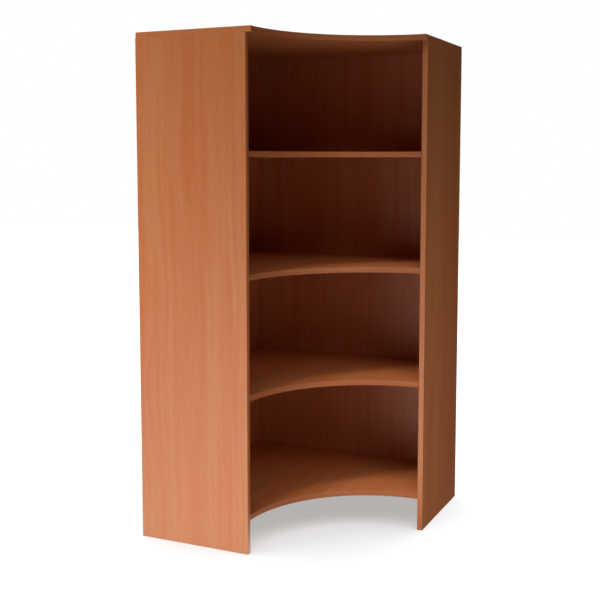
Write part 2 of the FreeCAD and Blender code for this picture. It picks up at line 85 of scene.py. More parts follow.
# Lamps far off: degrees to the right of -Y, degrees above the floor, degrees of spread, strength.
FAR_LAMPS = {
    "top_lamp": (-8, 62, 45, 1.07),
    "side_lamp": (42, 40, 25, 0.45),
    "floor_lamp": (-135, 83, 120, 9.5),
    "back_lamp": (200, 30, 40, 1.6),
}
# Beams on the unit's foot, weaker further up: degrees to the right of -Y, degrees above the floor, watts.
BEAMS = {
    "low_beam": (-20, 50, 3700),
    "high_beam": (-8, 64, 2700),
}
BEAM_FOOT = Vector((0.14, -0.41, 0.0))
BEAM_REACH = 12.0
BEAM_RADIUS = 0.85
BEAM_LAMP_RADIUS = 0.9
# Square soft boxes round the unit: degrees to the right of -Y, distance from its middle, height, watts.
BOX_LAMPS = {
    "left_box": (-65, 2.2, 1.2, 37),
    "front_box": (-10, 1.35, 0.4, 1.5),
    "front_right_box": (65, 1.35, 0.4, 2.6),
    "right_box": (90, 1.35, 0.4, 1.25),
}
BOX_LAMP_SIZE = 0.7
# Where the floor's light fades: its shine along Y and from the back corner forwards, and both its glow and
# its shine away from the unit's middle.
SHINE_ALONG_Y = (-0.5, 0.0)
SHINE_FORWARD = (-0.3, 0.1)
GLOW_AWAY = (0.85, 1.15)
SHINE_AWAY = (1.0, 6.0)
FAR_SHINE = 0.52
FLOOR_GAP = 0.3 * MM

SHARP_ANGLE = math.radians(35)
FLAT_ANGLE = math.radians(1)
MERGED = 0.001 * MM
# Nearly all of a noise lies between these two values.
NOISE_RANGE = (0.3, 0.7)

UP = np.array([0.0, 0.0, 1.0])
RIGHT = np.array([1.0, 0.0, 0.0])
FRONT = np.array([0.0, -1.0, 0.0])


def length(name, description, default):
    """A property that holds a length."""
    return FloatProperty(name=name, description=description, default=default, unit="LENGTH", precision=5)


def angle(name, description, degrees):
    """A property that holds an angle."""
    return FloatProperty(name=name, description=description, default=math.radians(degrees), subtype="ANGLE")


def factor(name, description, default):
    """A property that holds a number from 0 to 1."""
    limits = {"min": 0, "max": 1, "subtype": "FACTOR"}
    return FloatProperty(name=name, description=description, default=default, **limits)


def count(name, description, default, least):
    """A property that holds a whole number."""
    return IntProperty(name=name, description=description, default=default, min=least)


def colour(name, description, default):
    """A property that holds a scene-linear colour."""
    limits = {"min": 0, "max": 1, "subtype": "COLOR"}
    return FloatVectorProperty(name=name, description=description, default=default, **limits)


class WoodLook(PropertyGroup):
    """The printed cherry pattern on the boards and the edge strips."""

    pale: colour("Pale streaks", "Colour of the lightest streaks", (0.514, 0.183, 0.0670))
    middle: colour("Middle tone", "Colour between the streaks", (0.500, 0.159, 0.0520))
    deep: colour("Deep streaks", "Colour of the darkest streaks", (0.487, 0.137, 0.0405))
    band_width: length("Band width", "Width of the broad bands of tone", 0.055)
    streak_width: length("Streak width", "Width of the streaks in a band", 0.016)
    fibre_width: length("Fibre width", "Width of the fine fibres", 0.0019)
    pore_width: length("Pore width", "Width of the short dark pores", 0.0007)
    wander: length("Wander", "How far the streaks stray sideways along a board", 0.03)
    roughness: factor("Roughness", "Roughness of the sealed surface", 0.42)
    gloss: factor("Gloss", "How strongly the sealed surface mirrors", 0.5)
    relief: length("Relief", "Depth of the pressed grain", 0.00006)


class CoreLook(PropertyGroup):
    """The bare chipboard that shows in the bores."""

    pale: colour("Pale chips", "Colour of the lightest chips", (0.58, 0.40, 0.22))
    dark: colour("Dark chips", "Colour of the darkest chips", (0.24, 0.14, 0.065))
    chip: length("Chip size", "Size of the chips", 0.0035)


class EdgingLook(PropertyGroup):
    """The plastic strips on the boards' edges."""

    arris: length("Arris", "Radius of the rounded arrises", 0.0008)
    arris_steps: count("Arris steps", "Faces round an arris", 5, 2)
    curve_steps: count("Curve steps", "Faces along a quarter circle", 96, 24)
    roughness: factor("Roughness", "Roughness of the strip", 0.42)
    gloss: factor("Gloss", "How strongly the curved strips mirror", 0.2)
    # On the curved strips the tint darkens the wood colour as painted shade, and makes it a little bluer.
    tint: colour("Tint", "What is left of the wood's colour on the curved strips", (0.87, 0.88, 0.96))


class FittingLook(PropertyGroup):
    """The metal, wooden and plastic fittings."""

    zinc: colour("Zinc", "Colour of the cast cams", (0.56, 0.56, 0.57))
    steel: colour("Steel", "Colour of the plated screws and bolts", (0.68, 0.67, 0.64))
    beech: colour("Beech", "Colour of the dowels", (0.60, 0.40, 0.22))
    plastic: colour("Plastic", "Colour of the shelf supports", (0.50, 0.160, 0.052))
    round_steps: count("Round steps", "Faces round a turned fitting", 48, 24)
    pitch: length("Thread pitch", "From one turn of a screw's thread to the next", 0.003)
    thread_depth: length("Thread depth", "From the crest of a thread to its root", 0.0008)
    turn_steps: count("Turn steps", "Rings of points in a turn of thread", 10, 6)
    socket: length("Socket", "Width across the flats of a screw's hexagon socket", 0.004)
    socket_depth: length("Socket depth", "Depth of a screw's hexagon socket", 0.0025)
    flutes: count("Flutes", "Flutes round a dowel", 16, 8)
    flute_depth: length("Flute depth", "Depth of a dowel's flutes", 0.0004)
    edge_break: length("Edge break", "Rounding of cast, turned and moulded edges", 0.0003)


class StageLook(PropertyGroup):
    """Floor, light and camera."""

    floor: factor("Floor", "How much light the floor takes from its lamp", 0.30)
    floor_lift: factor("Floor lift", "Light added to the floor's shaded parts", 0.43)
    floor_return: factor("Floor return", "How pale the floor is to the light it throws back", 0.041)
    floor_glow: factor("Floor glow", "Light that the floor near the unit throws up at it", 0.34)
    floor_shine: FloatProperty(
        name="Floor shine",
        description="How bright the floor in front of the unit is in the boards' gloss",
        default=3.8,
        min=0,
    )
    floor_reach: length("Floor reach", "Half the width of the floor", 12.0)
    light: FloatProperty(name="Light", description="Strength of all the lamps", default=1.0, min=0)
    camera: FloatVectorProperty(
        name="Camera",
        description="Place of the camera",
        default=(1.2746, -2.8155, 1.1035),
        subtype="TRANSLATION",
    )
    turn: angle("Turn", "Turn of the camera to the left of +Y", 24.809)
    tilt: angle("Tilt", "Turn of the camera below the horizon", 5.726)
    lens: FloatProperty(name="Lens", description="Focal length", default=60.641, unit="CAMERA")
    rise: FloatProperty(
        name="Rise",
        description="Shift of the picture, as a share of its width",
        default=-0.06,
    )


class ShelfUnitLooks(PropertyGroup):
    """All that a user would change."""

    wood: PointerProperty(type=WoodLook)
    core: PointerProperty(type=CoreLook)
    edging: PointerProperty(type=EdgingLook)
    fitting: PointerProperty(type=FittingLook)
    stage: PointerProperty(type=StageLook)


def looks():
    """The present settings."""
    return bpy.context.scene.shelf_unit


def direction(side, height):
    """A level or raised direction, in degrees to the right of -Y and above the floor."""
    side, height = math.radians(side), math.radians(height)
    level = math.cos(height)
    return Vector((math.sin(side) * level, -math.cos(side) * level, math.sin(height)))


def add(tree, kind, sockets=None, **settings):
    """Adds a shader node: settings are its own, sockets get a value or the output that feeds them."""
    made = tree.nodes.new(f"ShaderNode{kind}")
    for name, value in settings.items():
        setattr(made, name, value)
    for name, value in (sockets or {}).items():
        if isinstance(value, NodeSocket):
            tree.links.new(value, made.inputs[name])
        else:
            made.inputs[name].default_value = value
    return made


def math_node(tree, operation, first, second=0.0):
    """The result of an operation on two numbers."""
    return add(tree, "Math", {0: first, 1: second}, operation=operation).outputs[0]


def vector_node(tree, operation, first, second=(0, 0, 0)):
    """The result of an operation on two vectors."""
    return add(tree, "VectorMath", {0: first, 1: second}, operation=operation).outputs["Vector"]


def between(tree, share, low, high, blend="MIX"):
    """A blend of two colours."""
    sockets = {0: share, 6: low, 7: high}
    return add(tree, "Mix", sockets, data_type="RGBA", blend_type=blend).outputs[2]


def eased(tree, number, low, high, to_low=0.0, to_high=1.0):
    """Carries a number from one range to another, held at both ends."""
    sockets = {"Value": number, "From Min": low, "From Max": high, "To Min": to_low, "To Max": to_high}
    return add(tree, "MapRange", sockets, interpolation_type="SMOOTHSTEP").outputs["Result"]


def noise(tree, place, across, along, detail=2.0, roughness=0.5):
    """Noise whose blots are about as wide and as long as the two lengths; Z runs along the grain."""
    scaled = vector_node(tree, "MULTIPLY", place, (1 / across, 1 / across, 1 / along))
    sockets = {"Vector": scaled, "Scale": 1.0, "Detail": detail, "Roughness": roughness}
    return add(tree, "TexNoise", sockets).outputs["Fac"]


def weighed(tree, middle, *parts):
    """A middle value plus each part's weight times how far that part is from a half."""
    total = middle - sum(weight / 2 for part, weight in parts)
    for part, weight in parts:
        total = math_node(tree, "ADD", total, math_node(tree, "MULTIPLY", part, weight))
    return total


def summed(tree, *pairs):
    """The sum of each pair's product."""
    total = 0.0
    for first, second in pairs:
        total = math_node(tree, "ADD", total, math_node(tree, "MULTIPLY", first, second))
    return total


def opaque(colour):
    """A colour property as a shader's four numbers."""
    return (*colour, 1.0)


def blank_material(name):
    """A material with a Principled shader, its node tree and the shader."""
    material = bpy.data.materials.new(name)
    material.use_nodes = True
    tree = material.node_tree
    return material, tree, tree.nodes["Principled BSDF"]


def relieved(tree, height, depth):
    """A normal that follows a height from 0 to 1, taken as that deep."""
    return add(tree, "Bump", {"Height": height, "Distance": depth, "Strength": 1.0}).outputs["Normal"]


def wood_pattern(tree, place):
    """Cherry pattern along Z: bands, streaks and fibres of stretched noise, with short dark pores.

    Each noise is some times as long as it is wide. The tone is their weighed sum, and runs from the deep
    colour over the middle one to the pale one.

    Gives the colour, the share of pore at a point and the height of the pressed grain.
    """
    wood = looks().wood
    band_length, streak_length, fibre_length, pore_length = 30, 40, 22, 22
    band_weight, streak_weight, fibre_weight = 0.55, 0.70, 0.36
    deep_tones, pale_tones, pore_tones = (0.34, 0.52), (0.48, 0.66), (0.60, 0.74)
    pore_dark, pore_sunk = 0.28, 0.5
    stray = noise(tree, place, across=0.35, along=0.6, detail=1.0)
    sideways = math_node(tree, "MULTIPLY", math_node(tree, "SUBTRACT", stray, 0.5), 2 * wood.wander)
    shift = add(tree, "CombineXYZ", {"X": sideways, "Y": sideways}).outputs["Vector"]
    place = vector_node(tree, "ADD", place, shift)
    band = noise(tree, place, wood.band_width, band_length * wood.band_width)
    streak_run = streak_length * wood.streak_width
    streak = noise(tree, place, wood.streak_width, streak_run, detail=3.0, roughness=0.6)
    fibre = noise(tree, place, wood.fibre_width, fibre_length * wood.fibre_width, roughness=0.6)
    pore = noise(tree, place, wood.pore_width, pore_length * wood.pore_width, detail=1.0)
    tone = weighed(tree, 0.5, (band, band_weight), (streak, streak_weight), (fibre, fibre_weight))
    light = between(tree, eased(tree, tone, *pale_tones), opaque(wood.middle), opaque(wood.pale))
    toned = between(tree, eased(tree, tone, *deep_tones), opaque(wood.deep), light)
    pores = eased(tree, pore, *pore_tones)
    darkened = math_node(tree, "MULTIPLY", pores, pore_dark)
    pored = between(tree, darkened, toned, opaque(wood.deep), "MULTIPLY")
    height = math_node(tree, "SUBTRACT", fibre, math_node(tree, "MULTIPLY", pores, pore_sunk))
    return pored, pores, height


def inside_board(tree, place, node):
    """1 where a point lies inside a board's box, as in a bore, and 0 on the board's own faces."""
    skin = 0.05 * MM
    low, high = (np.array(corner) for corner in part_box(node))
    from_middle = vector_node(tree, "SUBTRACT", place, tuple((low + high) / 2))
    aside = vector_node(tree, "ABSOLUTE", from_middle)
    depth = vector_node(tree, "SUBTRACT", tuple((high - low) / 2 - skin), aside)
    parts = add(tree, "SeparateXYZ", {"Vector": depth}).outputs
    least = math_node(tree, "MINIMUM", math_node(tree, "MINIMUM", parts["X"], parts["Y"]), parts["Z"])
    return math_node(tree, "GREATER_THAN", least, 0.0)


def chipboard_pattern(tree, place):
    """Flat chips of many tones, each a cell of a Voronoi pattern."""
    core = looks().core
    sockets = {"Vector": place, "Scale": 1 / core.chip, "Randomness": 1.0}
    cell = add(tree, "TexVoronoi", sockets).outputs["Color"]
    tone = add(tree, "SeparateColor", {"Color": cell}).outputs["Red"]
    return between(tree, tone, opaque(core.dark), opaque(core.pale))


def board_material(node, upright):
    """Faced chipboard: the wood pattern runs up an upright board and along Y on a level one."""
    wood = looks().wood
    pore_roughness, bare_roughness = wood.roughness + 0.12, 0.85
    material, tree, shader = blank_material(f"{node}_facing")
    place = add(tree, "TexCoord").outputs["Object"]
    grain = place
    if not upright:
        turn = {"Vector": place, "Rotation": (math.radians(90), 0, 0)}
        grain = add(tree, "Mapping", turn).outputs["Vector"]
    facing, pores, height = wood_pattern(tree, grain)
    bare = inside_board(tree, place, node)
    tree.links.new(between(tree, bare, facing, chipboard_pattern(tree, place)), shader.inputs["Base Color"])
    sealed = eased(tree, pores, 0.0, 1.0, wood.roughness, pore_roughness)
    tree.links.new(eased(tree, bare, 0.0, 1.0, sealed, bare_roughness), shader.inputs["Roughness"])
    tree.links.new(relieved(tree, height, wood.relief), shader.inputs["Normal"])
    shader.inputs["Specular IOR Level"].default_value = wood.gloss
    return material


def edging_material(name, gloss, tint):
    """The wood pattern along a strip, read from the strip's own attribute and multiplied by a tint (painted
    shade on the curved strips).
    """
    edging = looks().edging
    pore_roughness, relief = edging.roughness + 0.08, 0.5 * looks().wood.relief
    material, tree, shader = blank_material(name)
    place = add(tree, "Attribute", attribute_name="unrolled").outputs["Vector"]
    facing, pores, height = wood_pattern(tree, place)
    tree.links.new(between(tree, 1.0, facing, opaque(tint), "MULTIPLY"), shader.inputs["Base Color"])
    rough = eased(tree, pores, 0.0, 1.0, edging.roughness, pore_roughness)
    tree.links.new(rough, shader.inputs["Roughness"])
    tree.links.new(relieved(tree, height, relief), shader.inputs["Normal"])
    shader.inputs["Specular IOR Level"].default_value = gloss
    return material


def metal_material(name, tint, roughness, grain, depth):
    """Metal with a fine grain: roughness and tone follow two sizes of noise."""
    cloud_size, cloud_range = 12 * grain, (0.35, 0.65)
    smooth, rough = roughness - 0.08, roughness + 0.12
    dull = tuple(0.72 * part for part in tint)
    material, tree, shader = blank_material(name)
    place = add(tree, "TexCoord").outputs["Object"]
    cloud = noise(tree, place, cloud_size, cloud_size, detail=3.0)
    speck = noise(tree, place, grain, grain, roughness=0.7)
    toned = between(tree, eased(tree, cloud, *cloud_range), opaque(dull), opaque(tint))
    tree.links.new(toned, shader.inputs["Base Color"])
    tree.links.new(eased(tree, speck, *NOISE_RANGE, smooth, rough), shader.inputs["Roughness"])
    tree.links.new(relieved(tree, speck, depth), shader.inputs["Normal"])
    shader.inputs["Metallic"].default_value = 1.0
    return material


def beech_material():
    """Pale beech: fine noise along the dowel, read from its own attribute, with short brown flecks."""
    fibre_size, fleck_size = (0.6 * MM, 12 * MM), (0.4 * MM, 2.5 * MM)
    fleck_range, fleck_dark = (0.6, 0.7), 0.5
    rough, smooth, relief = 0.7, 0.58, 0.05 * MM
    tint = looks().fitting.beech
    deep = tuple(0.55 * part for part in tint)
    material, tree, shader = blank_material("beech")
    place = add(tree, "Attribute", attribute_name="unrolled").outputs["Vector"]
    fibre = noise(tree, place, *fibre_size, detail=3.0, roughness=0.6)
    fleck = eased(tree, noise(tree, place, *fleck_size, detail=1.0), *fleck_range)
    fibred = between(tree, eased(tree, fibre, *NOISE_RANGE), opaque(deep), opaque(tint))
    flecked = between(tree, math_node(tree, "MULTIPLY", fleck, fleck_dark), fibred, opaque(deep))
    tree.links.new(flecked, shader.inputs["Base Color"])
    tree.links.new(eased(tree, fibre, *NOISE_RANGE, rough, smooth), shader.inputs["Roughness"])
    tree.links.new(relieved(tree, fibre, relief), shader.inputs["Normal"])
    return material


def plastic_material():
    """Moulded brown plastic with a fine spark-eroded grain."""
    cloud_size, grain_size = 6 * MM, 0.4 * MM
    smooth, rough, relief = 0.38, 0.52, 0.02 * MM
    tint = looks().fitting.plastic
    deep = tuple(0.8 * part for part in tint)
    material, tree, shader = blank_material("brown_plastic")
    place = add(tree, "TexCoord").outputs["Object"]
    cloud = noise(tree, place, cloud_size, cloud_size)
    grain = noise(tree, place, grain_size, grain_size, roughness=0.6)
    tree.links.new(between(tree, cloud, opaque(deep), opaque(tint)), shader.inputs["Base Color"])
    tree.links.new(eased(tree, grain, *NOISE_RANGE, smooth, rough), shader.inputs["Roughness"])
    tree.links.new(relieved(tree, grain, relief), shader.inputs["Normal"])
    return material


def grid_faces(rows, columns):
    """Quads of a grid of points that is closed round its columns. They face along columns x rows."""
    row = np.arange(rows - 1)[:, None]
    column = np.arange(columns)[None, :]
    follower = (column + 1) % columns
    corners = (row * columns + column, row * columns + follower)
    quads = np.stack([*corners, corners[1] + columns, corners[0] + columns], axis=-1)
    return quads.reshape(-1, 4).tolist()


def pole_faces(ring, pole, starts):
    """Triangles between a closed ring of points and the pole that starts or ends a surface."""
    follower = np.roll(ring, -1)
    apex = np.full_like(ring, pole)
    order = (apex, follower, ring) if starts else (ring, follower, apex)
    return np.stack(order, axis=-1).tolist()


def new_mesh(points, faces, along):
    """A mesh that is smooth but for its sharp edges.

    The attribute holds a point's place on the unrolled surface, for patterns that follow it.
    """
    mesh = bpy.data.meshes.new("piece")
    mesh.from_pydata(points.tolist(), [], faces)
    attribute = mesh.attributes.new("unrolled", "FLOAT_VECTOR", "POINT")
    attribute.data.foreach_set("vector", along.astype(np.float32).ravel())
    mesh.shade_smooth()
    mesh.set_sharp_from_angle(angle=SHARP_ANGLE)
    return mesh


def settle(node, mesh, material, body=CARCASS):
    """A new piece in place of a CAD node: it rides a body and takes the material it is given."""
    piece = bpy.data.objects.new(f"{node}_finished", mesh)
    mesh.name = piece.name
    mesh.materials.append(material)
    bpy.context.scene.collection.objects.link(piece)
    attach(piece, body)
    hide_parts(node)
    return piece


def strip_profile(thickness, width, arris, steps):
    """Section of an edge strip: a rectangle whose two outer arrises are quarter circles.

    Columns are the distance out from the board and the distance across its edge, anticlockwise from the
    middle of the glued face.
    """
    turn = np.linspace(0, math.pi / 2, steps + 1)
    sine, cosine = arris * np.sin(turn), arris * np.cos(turn)
    low = np.stack([thickness - arris + sine, arris - cosine], axis=1)
    high = np.stack([thickness - arris + cosine, width - arris + sine], axis=1)
    return np.vstack([[0, width / 2], [0, 0], low, high, [0, width]])


def swept(rings):
    """Faces of rings of points, one after another along a path, with a cap at each end."""
    rows, columns = rings.shape[:2]
    caps = [list(range(columns))[::-1], list(range((rows - 1) * columns, rows * columns))]
    return grid_faces(rows, columns) + caps


def edge_strip(path, out, across, profile):
    """Carries a strip's section along a path: each point is path + out * distance + across * distance."""
    rings = path[:, None] + out[:, None] * profile[None, :, :1] + across * profile[None, :, 1:]
    run = np.concatenate([[0], np.cumsum(np.linalg.norm(np.diff(path, axis=0), axis=1))])
    girth = np.concatenate([[0], np.cumsum(np.linalg.norm(np.diff(profile, axis=0), axis=1))])
    along = np.stack(np.broadcast_arrays(girth[None, :], path[0].sum(), run[:, None]), axis=-1)
    return new_mesh(rings.reshape(-1, 3), swept(rings), along)


def straight_strip(node, out, across):
    """A strip as long as its CAD node, with its face towards out and its width along across."""
    edging = looks().edging
    run = np.cross(out, across)
    low, high = (np.array(corner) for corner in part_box(node))
    thickness, width, reach = (np.abs(way) @ (high - low) for way in (out, across, run))
    start = np.where(out + across + run > 0, low, high)
    path = np.stack([start, start + run * reach])
    profile = strip_profile(thickness, width, edging.arris, edging.arris_steps)
    return edge_strip(path, np.stack([out, out]), across, profile)


def curved_strip(node, thickness):
    """A strip round the quarter circle of a concave board, about the front corner of its CAD node's box."""
    edging = looks().edging
    low, high = (np.array(corner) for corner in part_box(node))
    centre = np.array([high[0], low[1], low[2]])
    turn = np.linspace(math.pi / 2, math.pi, edging.curve_steps + 1)
    outward = np.stack([np.cos(turn), np.sin(turn), np.zeros_like(turn)], axis=1)
    profile = strip_profile(thickness, high[2] - low[2], edging.arris, edging.arris_steps)
    return edge_strip(centre + (high[0] - low[0]) * outward, -outward, UP, profile)


def solids(node):
    """Lowest and highest corners of each solid of a CAD node.

    Each corner point starts with a label of its own, and the least label spreads over triangles that meet.
    """
    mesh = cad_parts[node].data
    points = np.empty(3 * len(mesh.vertices), np.float32)
    mesh.vertices.foreach_get("co", points)
    corners = np.empty(len(mesh.loops), np.int32)
    mesh.loops.foreach_get("vertex_index", corners)
    spots, same = np.unique(points.reshape(-1, 3).round(6), axis=0, return_inverse=True)
    triangles = same.ravel()[corners].reshape(-1, 3)
    label = np.arange(len(spots))
    settled = False
    while not settled:
        least = label[triangles].min(axis=1)
        spread = label.copy()
        np.minimum.at(spread, triangles.ravel(), np.repeat(least, 3))
        settled = np.array_equal(spread, label)
        label = spread
    groups = [spots[label == kept] for kept in np.unique(label)]
    return [(group.min(axis=0), group.max(axis=0)) for group in groups]


def station(low, high):
    """Where a long fitting starts, and which way it runs: along its longest side, from the outside in.

    Gives the start, the axis, its two cross directions and the length.
    """
    size = high - low
    longest = int(np.argmax(size))
    middle = (low + high) / 2
    core = (np.array(CAD_BOX[0]) + np.array(CAD_BOX[1])) / 2
    axis = np.zeros(3)
    axis[longest] = -1.0 if middle[longest] > core[longest] else 1.0
    side = np.roll(abs(axis), 1)
    return middle - axis * size[longest] / 2, axis, side, np.cross(axis, side), size[longest]


def turned(radius, height, start, axis, side, cross):
    """A turned fitting: radius and height are grids over rows along it and columns round it.

    A point is start + axis * height + (side * cos + cross * sin) * radius. Both ends run in to a pole.
    Gives the points, the faces and each point's place on the unrolled surface.
    """
    rows, columns = radius.shape
    turn = np.linspace(0, 2 * math.pi, columns, endpoint=False)
    spokes = np.cos(turn)[:, None] * side + np.sin(turn)[:, None] * cross
    rings = start + axis * height[..., None] + spokes * radius[..., None]
    poles = start + axis * height[[0, -1], :1]
    count = rows * columns
    last = count - columns + np.arange(columns)
    faces = grid_faces(rows, columns)
    faces += pole_faces(np.arange(columns), count, True) + pole_faces(last, count + 1, False)
    around = np.stack(np.broadcast_arrays(turn * radius.max(), start.sum(), height), axis=-1)
    tips = np.array([[0, start.sum(), height[0, 0]], [0, start.sum(), height[-1, 0]]])
    return np.vstack([rings.reshape(-1, 3), poles]), faces, np.vstack([around.reshape(-1, 3), tips])


def gathered(parts):
    """One mesh of several (points, faces, places) parts."""
    points, faces, along = zip(*parts)
    firsts = np.cumsum([0, *map(len, points)])[:-1]
    moved = [[corner + first for corner in face] for first, group in zip(firsts, faces) for face in group]
    return new_mesh(np.vstack(points), moved, np.vstack(along))


def thread_rows(start, end, crest):
    """Radius and height of a thread between two heights: a ridge that climbs one pitch in each turn.

    The ridge is a rounded crest over a flat root, faded out at both ends of the thread.
    """
    half_ridge, rounding, faded_turns = 0.32, 0.8, 0.5
    fitting = looks().fitting
    rows = round((end - start) / fitting.pitch * fitting.turn_steps)
    height = np.linspace(start, end, rows)[:, None]
    turn = np.linspace(0, 1, fitting.round_steps, endpoint=False)[None, :]
    phase = (height / fitting.pitch - turn) % 1.0
    ridge = np.clip(1 - np.abs(phase - 0.5) / half_ridge, 0, 1) ** rounding
    fade = np.clip(np.minimum(height - start, end - height) / (faded_turns * fitting.pitch), 0, 1)
    radius = crest - fitting.thread_depth * (1 - ridge * fade)
    return radius, np.broadcast_to(height, radius.shape)


def plain_rows(*profile):
    """Rows of round rings, from (radius, height) pairs."""
    columns = looks().fitting.round_steps
    radius = np.array([pair[0] for pair in profile])[:, None]
    height = np.array([pair[1] for pair in profile])[:, None]
    shape = (len(profile), columns)
    return np.broadcast_to(radius, shape), np.broadcast_to(height, shape)


def socket_rows():
    """Rows of a hexagon socket, from the rim of its floor to its mouth at height 0.

    A hexagon's radius is half its width over the cosine of the angle from the nearest flat's middle.
    """
    fitting = looks().fitting
    turn = np.linspace(0, 2 * math.pi, fitting.round_steps, endpoint=False)
    sixth = math.pi / 3
    hexagon = 0.5 * fitting.socket / np.cos((turn + sixth / 2) % sixth - sixth / 2)
    lips = np.array([0.0, 0.0, fitting.edge_break])[:, None]
    heights = np.array([fitting.socket_depth, fitting.edge_break, 0.0])[:, None]
    radius = hexagon[None, :] + lips
    return radius, np.broadcast_to(heights, radius.shape)


def stacked(*parts):
    """Joins rows of a turned fitting, part after part."""
    return np.vstack([part[0] for part in parts]), np.vstack([part[1] for part in parts])


def screw_form(size):
    """Connecting screw: hexagon socket, countersunk head, smooth shank, coarse thread and a pointed end."""
    fitting = looks().fitting
    head, shank, crest = 5.0 * MM, 3.5 * MM, 3.0 * MM
    head_height, shank_end = 3.0 * MM, 15.0 * MM
    soft = fitting.edge_break
    root = crest - fitting.thread_depth
    upper = plain_rows(
        (head - soft, 0.0),
        (head - 0.3 * soft, 0.3 * soft),
        (head - 0.4 * soft, soft),
        (shank, head_height),
        (shank, shank_end - soft),
        (shank - soft, shank_end),
        (root, shank_end + soft),
    )
    thread = thread_rows(shank_end + 2 * soft, size - crest, crest)
    point = plain_rows((0.4 * root, size - 0.4 * root), (0.1 * root, size))
    return stacked(socket_rows(), upper, thread, point)


def bolt_form(size):
    """Cam bolt: coarse thread, collar, smooth shank, narrow neck and a round head."""
    fitting = looks().fitting
    crest, shank, neck, head = 3.0 * MM, 3.5 * MM, 2.0 * MM, 3.25 * MM
    thread_length, neck_length, head_length = 11.0 * MM, 7.0 * MM, 3.0 * MM
    soft = fitting.edge_break
    root = crest - fitting.thread_depth
    neck_end = size - head_length
    neck_start = neck_end - neck_length
    tip = plain_rows((0.5 * root, 0.0), (root, 1.5 * soft))
    thread = thread_rows(2 * soft, thread_length - soft, crest)
    upper = plain_rows(
        (root, thread_length),
        (shank - soft, thread_length),
        (shank, thread_length + soft),
        (shank, neck_start - soft),
        (shank - soft, neck_start),
        (neck + soft, neck_start),
        (neck, neck_start + soft),
        (neck, neck_end - soft),
        (neck + soft, neck_end),
        (head - soft, neck_end),
        (head, neck_end + soft),
        (head, size - 2 * soft),
        (head - 2 * soft, size),
    )
    return stacked(tip, thread, upper)


def dowel_form(size):
    """Fluted dowel: the radius dips by a rounded flute many times round, and both ends are chamfered."""
    fitting = looks().fitting
    radius, chamfer = 4.0 * MM, 1.0 * MM
    turn = np.linspace(0, 2 * math.pi, 4 * fitting.flutes, endpoint=False)[None, :]
    flute = fitting.flute_depth * (0.5 + 0.5 * np.cos(fitting.flutes * turn)) ** 2
    rings = np.array([radius - chamfer, radius, radius, radius, radius - chamfer])[:, None]
    height = np.array([0.0, chamfer, size / 2, size - chamfer, size])[:, None]
    grooved = rings - flute
    return grooved, np.broadcast_to(height, grooved.shape)


def turned_group(node, form):
    """A mesh with a turned fitting for each solid of a CAD node."""
    found = [station(low, high) for low, high in solids(node)]
    radius, height = form(found[0][4])
    return gathered([turned(radius, height, *place[:4]) for place in found])


def rounded_outline(corners, radius, steps):
    """An outline with every corner rounded: points and outward normals, anticlockwise.

    At a corner the arc turns from one side's normal to the next about a centre that lies the radius in from
    both sides. At a hollow corner it lies out from them.
    """
    corners = np.asarray(corners, float)
    ahead = np.roll(corners, -1, axis=0) - corners
    ahead /= np.linalg.norm(ahead, axis=1)[:, None]
    behind = np.roll(ahead, 1, axis=0)
    normal_in, normal_out = (np.stack([d[:, 1], -d[:, 0]], axis=1) for d in (behind, ahead))
    bulge = np.sign(behind[:, 0] * ahead[:, 1] - behind[:, 1] * ahead[:, 0])[:, None]
    centre = corners - bulge * radius * (normal_in + normal_out)
    share = np.linspace(0, math.pi / 2, steps + 1)[None, :, None]
    normals = np.cos(share) * normal_in[:, None] + np.sin(share) * normal_out[:, None]
    points = centre[:, None] + bulge[:, None] * radius * normals
    return points.reshape(-1, 2), normals.reshape(-1, 2)


def support_parts(low, high):
    """A moulded shelf support: an angle whose outline is drawn in round both ends, and a round pin."""
    soft, steps = looks().fitting.edge_break, 4
    start, axis, _, _, size = station(low, high)
    pin, pin_radius, plate, rise = 8.0 * MM, 2.5 * MM, 2.5 * MM, (high[2] - low[2]) / 2
    outline = [
        (pin, -rise),
        (pin + plate, -rise),
        (pin + plate, rise - plate),
        (size, rise - plate),
        (size, rise),
        (pin, rise),
    ]
    points, normals = rounded_outline(outline, 2 * soft, steps)
    run = np.cross(axis, UP)
    half = np.abs(run) @ (high - low) / 2
    turn = np.linspace(0, math.pi / 2, steps)
    drawn_in = soft * (1 - np.sin(turn))
    from_end = soft * (1 - np.cos(turn))
    across = np.concatenate([from_end - half, half - from_end[::-1]])
    inset = np.concatenate([drawn_in, drawn_in[::-1]])
    section = points[None] - inset[:, None, None] * normals[None]
    rings = start + axis * section[..., :1] + UP * section[..., 1:] + run * across[:, None, None]
    angle_points = rings.reshape(-1, 3)
    radius, height = plain_rows(
        (pin_radius - 2 * soft, 0.0),
        (pin_radius, 2 * soft),
        (pin_radius, pin + plate / 2),
    )
    peg = turned(radius, height, start, axis, run, np.cross(axis, run))
    return [(angle_points, swept(rings), angle_points), peg]


def softened_copy(node):
    """A merged copy of a CAD node's mesh, its flat faces made whole again, ready for a Bevel."""
    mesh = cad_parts[node].data.copy()
    mesh.materials.clear()
    work = bmesh.new()
    work.from_mesh(mesh)
    bmesh.ops.remove_doubles(work, verts=work.verts, dist=MERGED)
    bmesh.ops.dissolve_limit(work, angle_limit=FLAT_ANGLE, verts=work.verts, edges=work.edges)
    work.to_mesh(mesh)
    work.free()
    mesh.shade_smooth()
    mesh.set_sharp_from_angle(angle=SHARP_ANGLE)
    return mesh


class SHELFUNIT_OT_face_boards(Operator):
    """Gives every board its wood-pattern facing, and bare chipboard in its bores"""

    bl_idname = "shelf_unit.face_boards"
    bl_label = "Face the boards"
    bl_options = {"REGISTER", "UNDO"}

    def execute(self, context):
        for node in (*UPRIGHT_BOARDS, *LEVEL_BOARDS):
            facing = board_material(node, node in UPRIGHT_BOARDS)
            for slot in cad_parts[node].material_slots:
                slot.link = "OBJECT"
                slot.material = facing
        return {"FINISHED"}


